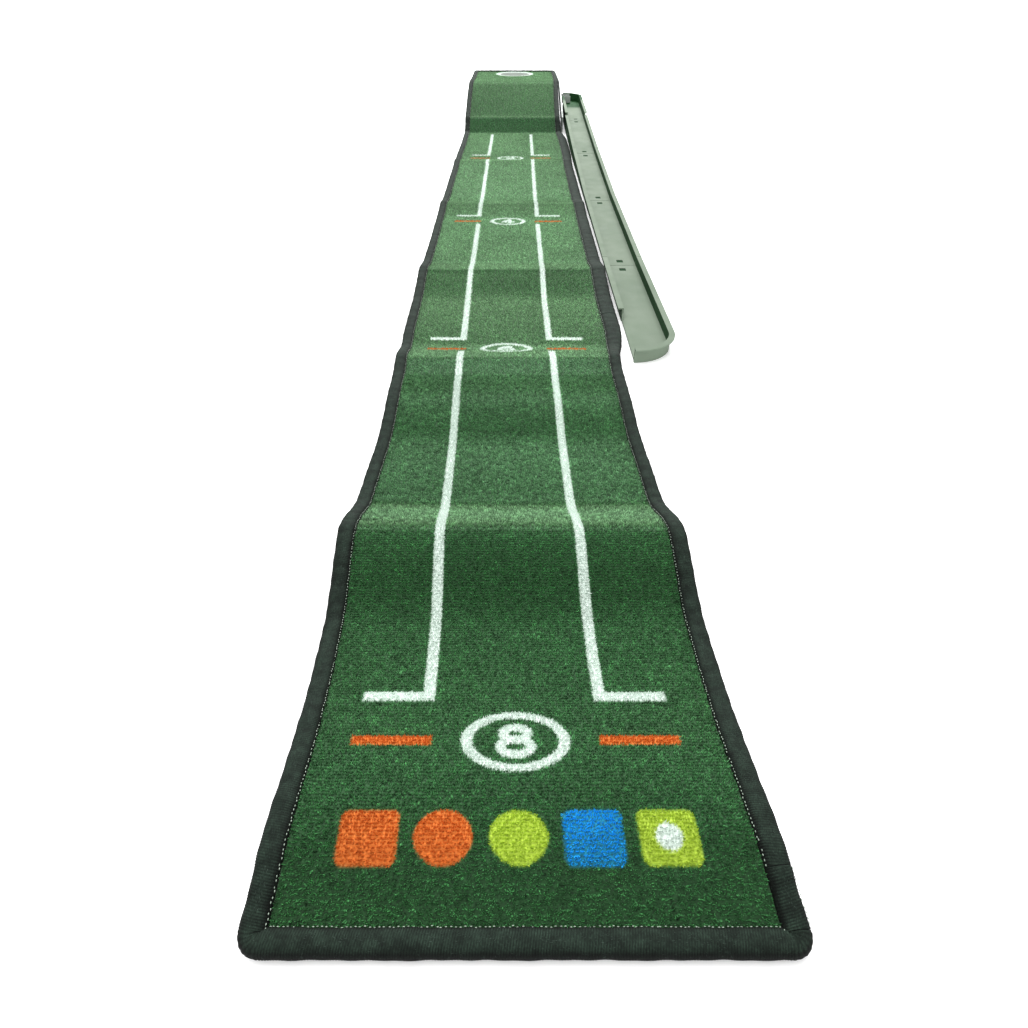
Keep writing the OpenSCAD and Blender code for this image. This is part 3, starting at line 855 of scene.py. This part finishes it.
def roll(plan, step, seed):
    """A rolled edge wrapped in slanting yarn, along a path in plan."""
    s, plan = resample(plan, step)
    centre, half_w, _, side, up = border_frames(plan)
    angle = np.linspace(0, 2 * math.pi, ROLL_POINTS, endpoint=False)
    wrap_number = np.floor(s / WRAP_PITCH).astype(int)
    wrap_gain = np.random.default_rng(seed).uniform(0.6, 1.25, wrap_number.max() + 2)[wrap_number]
    slant = 0.55 * np.cos(angle) + 0.2 * np.sin(2 * angle)
    turn = s[:, None] / WRAP_PITCH + slant[None, :]
    ridge = np.abs(np.sin(math.pi * turn)) ** 0.7
    swell = (ridge - 0.6) * WRAP_HEIGHT * wrap_gain[:, None] + lumps(s, seed)[:, None]
    cos, sin = np.cos(angle), np.sin(angle)
    across = np.sign(cos) * np.abs(cos) ** ROLL_SQUARE * (half_w + swell)
    upward = np.sign(sin) * np.abs(sin) ** ROLL_SQUARE * (ROLL_HALF_H + swell)
    upward = np.maximum(upward, -ROLL_HALF_H)
    offset = across[..., None] * side[:, None, :] + upward[..., None] * up[:, None, :]
    points = centre[:, None, :] + offset
    rings = np.arange(len(s) * ROLL_POINTS).reshape(len(s), ROLL_POINTS)
    ahead = np.roll(rings, -1, axis=1)
    faces = np.stack([rings[:-1], ahead[:-1], ahead[1:], rings[1:]], axis=-1).reshape(-1, 4)
    caps = np.stack([rings[0][::-1], rings[-1]])
    return points.reshape(-1, 3), [faces, caps], ridge.ravel()


def joined(parts):
    """Several (points, [faces], values) put together as one."""
    shift = 0
    points, values, by_size = [], [], {}
    for part_points, part_faces, part_values in parts:
        points.append(part_points)
        values.append(part_values)
        for faces in part_faces:
            by_size.setdefault(faces.shape[1], []).append(faces + shift)
        shift += len(part_points)
    faces = [np.concatenate(f) for f in by_size.values()]
    return np.concatenate(points), faces, np.concatenate(values)


STITCH_PITCH = 2.5 * MM
STITCH_HALF = (0.62 * MM, 0.30 * MM)
STITCH_INSET = 0.35 * MM
STITCH_H = 2.9 * MM


def stitches(plan, seed):
    """A row of short raised stitches where the border meets the pile."""
    draw = np.random.default_rng(seed)
    _, plan = resample(plan, STITCH_PITCH)
    centre, half_w, tangent, side, up = border_frames(plan)
    spread = draw.normal(0, 1, (len(plan), 3))
    root = (
        centre
        - side * (half_w - STITCH_INSET + 0.2 * MM * spread[:, :1])
        + up * (STITCH_H + 0.25 * MM * spread[:, 1:2])
        + tangent * 0.3 * MM * spread[:, 2:]
    )
    rings, corners = 5, 6
    t = np.linspace(-1, 1, rings)
    a = np.linspace(0, 2 * math.pi, corners, endpoint=False)
    long_half, thin_half = STITCH_HALF
    radius = thin_half * np.sqrt(np.clip(1.06 - t**2, 0, 1))
    offset = (
        (t * long_half)[None, :, None, None] * tangent[:, None, None, :]
        + (radius[:, None] * np.cos(a))[None, :, :, None] * side[:, None, None, :]
        + (radius[:, None] * np.sin(a))[None, :, :, None] * up[:, None, None, :]
    )
    points = (root[:, None, None, :] + offset).reshape(-1, 3)
    index = np.arange(len(plan) * rings * corners).reshape(len(plan), rings, corners)
    ahead = np.roll(index, -1, axis=2)
    faces = np.stack([index[:, :-1], ahead[:, :-1], ahead[:, 1:], index[:, 1:]], axis=-1)
    faces = faces.reshape(-1, 4)
    caps = np.concatenate([index[:, 0, ::-1], index[:, -1]])
    return points, [faces, caps], np.zeros(len(points))


FUZZ_ROOT = 0.97
FUZZ_HALF_W = 0.09 * MM


def fuzz(plan, per_metre, seed):
    """Loose fibres that stand off the wrapped yarn."""
    draw = np.random.default_rng(seed)
    length = np.hypot(*np.diff(plan, axis=0).T).sum()
    count = int(length * per_metre)
    s, dense = resample(plan, 1 * MM)
    centre, half_w, tangent, side, up = border_frames(dense)
    pick = draw.integers(0, len(s), count)
    angle = draw.uniform(-0.25, math.pi + 0.25, count)
    out = np.cos(angle)[:, None] * side[pick] + np.sin(angle)[:, None] * up[pick]
    along = tangent[pick]
    root = centre[pick] + np.cos(angle)[:, None] * side[pick] * half_w[pick] * FUZZ_ROOT
    root += np.sin(angle)[:, None] * up[pick] * ROLL_HALF_H * FUZZ_ROOT
    root += along * draw.uniform(-0.5, 0.5, (count, 1)) * MM
    lie = along * draw.normal(0, 1.0, (count, 1)) + out * draw.uniform(0.25, 0.9, (count, 1))
    lie /= np.linalg.norm(lie, axis=1)[:, None]
    reach = draw.uniform(0.8, 2.2, (count, 1)) * MM
    width = np.cross(lie, out)
    width /= np.maximum(np.linalg.norm(width, axis=1)[:, None], 1e-6)
    width *= FUZZ_HALF_W
    points = np.stack([root - width, root + width, root + lie * reach], axis=1).reshape(-1, 3)
    shade = np.repeat(draw.uniform(0, 1, count), 3)
    return points, [np.arange(3 * count).reshape(-1, 3)], shade


ROLL_SEED, STITCH_SEED, FUZZ_SEED = 11, 41, 71
# Step along the roll and fibres to a metre, on the strip next to the camera and on the others
NEAR_BORDER = (0.36 * MM, 9000)
FAR_BORDER = (0.60 * MM, 4000)


def build_border(strip):
    """The rolled border of one strip, with its lock stitch and its loose fibres."""
    step, fibres = NEAR_BORDER if strip == 0 else FAR_BORDER
    paths = list(enumerate(edge_path(strip), 2 * strip))
    points, faces, ridge = joined([roll(p, step, ROLL_SEED + i) for i, p in paths])
    border = new_object(f"border_{strip + 1}", points, faces, BORDER_LOOK, values={"ridge": ridge})
    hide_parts(f"border_{NODE_ENDS[strip]}")
    attach(border, strip)
    points, faces, _ = joined([stitches(p, STITCH_SEED + i) for i, p in paths])
    thread = new_object(f"lock_stitch_{strip + 1}", points, faces, STITCH_LOOK)
    attach(thread, strip)
    points, faces, shade = joined([fuzz(p, fibres, FUZZ_SEED + i) for i, p in paths])
    loose = new_object(f"border_fuzz_{strip + 1}", points, faces, FUZZ_LOOK,
                       values={"shade": shade}, smooth=False)
    attach(loose, strip)


for strip in range(len(BODIES)):
    build_border(strip)

# ---------------------------------------------------------------------------------------------
# Cut pile
# ---------------------------------------------------------------------------------------------

# Reach in Y, distance between rows, distance between tufts, blades in a tuft, blade's foot
# radius, spread of the tufts' shades
PILE_ZONES = (
    (FRONT_Y, -2.200, ROW_PITCH, 2.0 * MM, 5, 0.50 * MM, 0.28),
    (-2.200, -1.300, ROW_PITCH, 2.6 * MM, 2, 0.85 * MM, 0.18),
    (-1.300, BACK_Y, 3.4 * MM, 3.2 * MM, 2, 1.20 * MM, 0.10),
)
TUFT_LEAN = 0.45 * MM
BLADE_SPLAY = 0.45
NAP_LEAN = 0.25 * MM
PILE_INSET = 0.3 * MM
HOLE_INSET = 0.4 * MM
BLADE_SINK = 0.4 * MM
PRINT_JITTER = 0.25 * MM


def tuft_roots(near, far, row_pitch, tuft_pitch):
    """Uneven rows of tufts, every second row shifted by half a pitch."""
    rows = np.arange(near, far, row_pitch)
    cols = np.arange(-TURF_HALF, TURF_HALF, tuft_pitch)
    gx, gy = np.meshgrid(cols, rows)
    gx = gx + tuft_pitch * 0.5 * (np.arange(len(rows)) % 2)[:, None]
    gx = gx + pile_random.normal(0, 0.22 * tuft_pitch, gx.shape)
    gy = gy + pile_random.normal(0, 0.09 * row_pitch, gy.shape)
    return gx.ravel(), gy.ravel()


def pile_zone(near, far, row_pitch, tuft_pitch, blades, foot_r, shade_spread):
    """Blades of one zone: place on the flat cloth, height, lean, foot radius and shade."""
    tx, ty = tuft_roots(near, far, row_pitch, tuft_pitch)
    tuft_shade = np.clip(pile_random.normal(1.0, shade_spread, len(tx)), 0.3, 1.8)
    tuft_lean = pile_random.normal(0, TUFT_LEAN, (len(tx), 2))
    owner = np.repeat(np.arange(len(tx)), blades)
    spread = pile_random.normal(0, 0.36, (len(owner), 2)) * (tuft_pitch, row_pitch * 0.4)
    x = tx[owner] + spread[:, 0]
    y = ty[owner] + spread[:, 1]
    keep = (
        (np.abs(x) < TURF_HALF - PILE_INSET)
        & (y > FRONT_Y + BORDER_W)
        & (y < BACK_Y - BORDER_W)
        & (np.hypot(x, y) > HOLE_R + HOLE_INSET)
    )
    x, y, owner, spread = x[keep], y[keep], owner[keep], spread[keep]
    height = PILE_TOP - SHEET_TOP + 0.5 * MM + pile_random.uniform(-0.55, 0.25, len(x)) * MM
    lean_x = spread[:, 0] * BLADE_SPLAY + tuft_lean[owner, 0]
    lean_y = spread[:, 1] * BLADE_SPLAY + tuft_lean[owner, 1] - NAP_LEAN
    shade = tuft_shade[owner] * pile_random.uniform(0.55, 1.45, len(x))
    return x, y, height, lean_x, lean_y, np.full(len(x), foot_r), shade


def blade_shapes(x, y, height, lean_x, lean_y, foot_r):
    """The four points of each blade, a slim spike of three sides: its foot's corners and its tip."""
    normal = np.stack([np.zeros_like(y), -slope(y), np.ones_like(y)], axis=-1)
    normal /= np.linalg.norm(normal, axis=1)[:, None]
    uphill = np.stack([np.zeros_like(y), normal[:, 2], -normal[:, 1]], axis=-1)
    foot = np.stack([lay(x, y), y, under(x, y) + SHEET_TOP - BLADE_SINK], axis=-1)
    tip = foot + normal * height[:, None] + uphill * lean_y[:, None]
    tip[:, 0] += lean_x
    spin = pile_random.uniform(0, 2 * math.pi, len(x))
    corners = []
    for k in range(3):
        a = (spin + 2 * math.pi * k / 3)[:, None]
        corners.append(foot + foot_r[:, None] * (np.cos(a) * (1, 0, 0) + np.sin(a) * uphill))
    return np.stack([*corners, tip], axis=1)


BLADE_FACES = np.array([[0, 1, 3], [1, 2, 3], [2, 0, 3]])

zones = [pile_zone(*zone) for zone in PILE_ZONES]
x, y, height, lean_x, lean_y, foot_r, shade = [np.concatenate(a) for a in zip(*zones)]
print_x = x + pile_random.normal(0, PRINT_JITTER, len(x))
print_y = y + pile_random.normal(0, PRINT_JITTER, len(x))
blade_colour = print_at(print_x, print_y)
blade_points = blade_shapes(x, y, height, lean_x, lean_y, foot_r)
steep = slope(y)

# A blade near a fold goes into a piece of its own for that fold; any other blade rides on its own length of the
# mat
region = np.searchsorted(fold_line, y)
at_fold = np.full(len(y), -1)
for strip, line in enumerate(fold_line):
    at_fold[np.abs(y - line) < BLEND_REACH] = strip


def pile_piece(name, chosen, colour):
    """One piece of the pile: the chosen blades, all of one printed colour."""
    count = len(chosen)
    points = blade_points[chosen].reshape(-1, 3)
    faces = (np.arange(count)[:, None, None] * 4 + BLADE_FACES).reshape(-1, 3)
    obj = new_object(
        name, points, faces, PILE_LOOKS[colour],
        values={
            "tip": np.tile([0.0, 0.0, 0.0, 1.0], count),
            "shade": np.repeat(shade[chosen], 4),
            "steep": np.repeat(steep[chosen], 4),
        },
        smooth=False,
    )
    return obj


for colour, colour_name in enumerate(COLOUR_NAMES):
    for part, body in enumerate(BODIES):
        chosen = np.flatnonzero((blade_colour == colour) & (region == part) & (at_fold < 0))
        if len(chosen):
            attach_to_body(pile_piece(f"pile_{colour_name}_{NODE_ENDS[part]}", chosen, colour), body)
    for strip in range(len(FOLDS)):
        chosen = np.flatnonzero((blade_colour == colour) & (at_fold == strip))
        if len(chosen):
            attach(pile_piece(f"pile_{colour_name}_fold_{strip + 1}", chosen, colour), strip)

# ---------------------------------------------------------------------------------------------
# Hard parts: the CAD nodes themselves, with softened edges
# ---------------------------------------------------------------------------------------------

ELBOW_DARK_FROM = -0.29
EDGE_SOFTNESS = 0.35 * MM

HEAD_LOOK = moulded_look("head_plastic", (0.15, 0.17, 0.16), (0.20, 0.22, 0.21), 0.5)
LIGHT_LOOK = moulded_look("light_plastic", (0.27, 0.31, 0.28), (0.35, 0.39, 0.36), 0.5)
COLLAR_LOOK = moulded_look("collar_plastic", (0.62, 0.68, 0.62), (0.72, 0.77, 0.72), 0.4)
TRACK_LOOK = track_look("track_plastic")
ELBOW_LOOK = track_look("elbow_plastic", dark_from=ELBOW_DARK_FROM)
CLIP_LOOK = moulded_look(
    "clip_plastic", (0.008, 0.030, 0.011), (0.016, 0.048, 0.019), 0.8, Specular_IOR_Level=0.03)
RUBBER_LOOK = moulded_look("grip_rubber", (0.012, 0.012, 0.012), (0.03, 0.03, 0.03), 0.85)
SLOT_LOOKS = {
    "head_plastic": HEAD_LOOK,
    "light_plastic": LIGHT_LOOK,
    "track_plastic": TRACK_LOOK,
    "elbow_plastic": ELBOW_LOOK,
    "grip_rubber": RUBBER_LOOK,
    "screws": screw_look(),
    "hook_tape": hook_look(),
}
NODE_LOOKS = {"hole_collar": COLLAR_LOOK}
for section in ("elbow", "upper", "middle", "lower"):
    NODE_LOOKS[section + "_clip"] = CLIP_LOOK
SOFT_SLOTS = ("turf", "underlay", "border_yarn")
SHARP_SLOTS = ("screws", "hook_tape")


def soften_edges(obj, width):
    bevel = obj.modifiers.new("softened_edges", "BEVEL")
    bevel.width = width
    bevel.segments = 2
    bevel.limit_method = "ANGLE"
    bevel.angle_limit = math.radians(40)
    bevel.use_clamp_overlap = True
    bevel.harden_normals = True


for row in frame["record"]["subparts"]:
    slot = row["material_slot"]
    if slot in SOFT_SLOTS:
        continue
    obj = frame["nodes"][row["node"]]
    obj.data.materials.clear()
    obj.data.materials.append(NODE_LOOKS.get(row["node"], SLOT_LOOKS[slot]))
    if slot not in SHARP_SLOTS:
        soften_edges(obj, EDGE_SOFTNESS)

# ---------------------------------------------------------------------------------------------
# Stage, light and camera
# ---------------------------------------------------------------------------------------------

FLOOR_HALF = 40.0
FLOOR_DROP = 0.4 * MM
# Place, target, diameter and watts of each light
BACK_KEY = ((0.2, 2.2, 3.0), (0, -1.3, 0), 3.0, 360)
NEAR_FILL = ((-0.5, -2.7, 2.2), (0, -2.4, 0), 1.8, 26)
WORLD_LIGHT = 1.0
CAMERA_PLACE = (-0.002, -2.985, 0.414)
CAMERA_TILT = 52.1
CAMERA_LENS = 24.5


def stage_floor():
    corners = np.array([[-1, -1, 0], [1, -1, 0], [1, 1, 0], [-1, 1, 0]]) * FLOOR_HALF
    corners += (0, FRONT_Y / 2, -FLOOR_DROP)
    floor = new_object("floor", corners, np.array([[0, 1, 2, 3]]), floor_look(), smooth=False)


def area_light(name, place, target, size, power):
    data = bpy.data.lights.new(name, "AREA")
    data.shape = "DISK"
    data.size = size
    data.energy = power
    light = bpy.data.objects.new(name, data)
    bpy.context.scene.collection.objects.link(light)
    light.location = place
    aim = Vector(target) - Vector(place)
    light.rotation_euler = aim.to_track_quat("-Z", "Y").to_euler()


stage_floor()
area_light("back_key", *BACK_KEY)
area_light("near_fill", *NEAR_FILL)

scene = bpy.context.scene
scene.world = scene.world or bpy.data.worlds.new("studio")
scene.world.use_nodes = True
background = scene.world.node_tree.nodes["Background"]
background.inputs["Color"].default_value = (1.0, 1.0, 1.0, 1)
background.inputs["Strength"].default_value = WORLD_LIGHT
scene.view_settings.view_transform = "Standard"

lens = bpy.data.cameras.new("photo_view")
lens.lens = CAMERA_LENS
lens.sensor_width = 36
lens.clip_start = 0.02
camera = bpy.data.objects.new("photo_view", lens)
scene.collection.objects.link(camera)
camera.location = CAMERA_PLACE
camera.rotation_euler = (math.radians(CAMERA_TILT), 0, 0)
scene.camera = camera
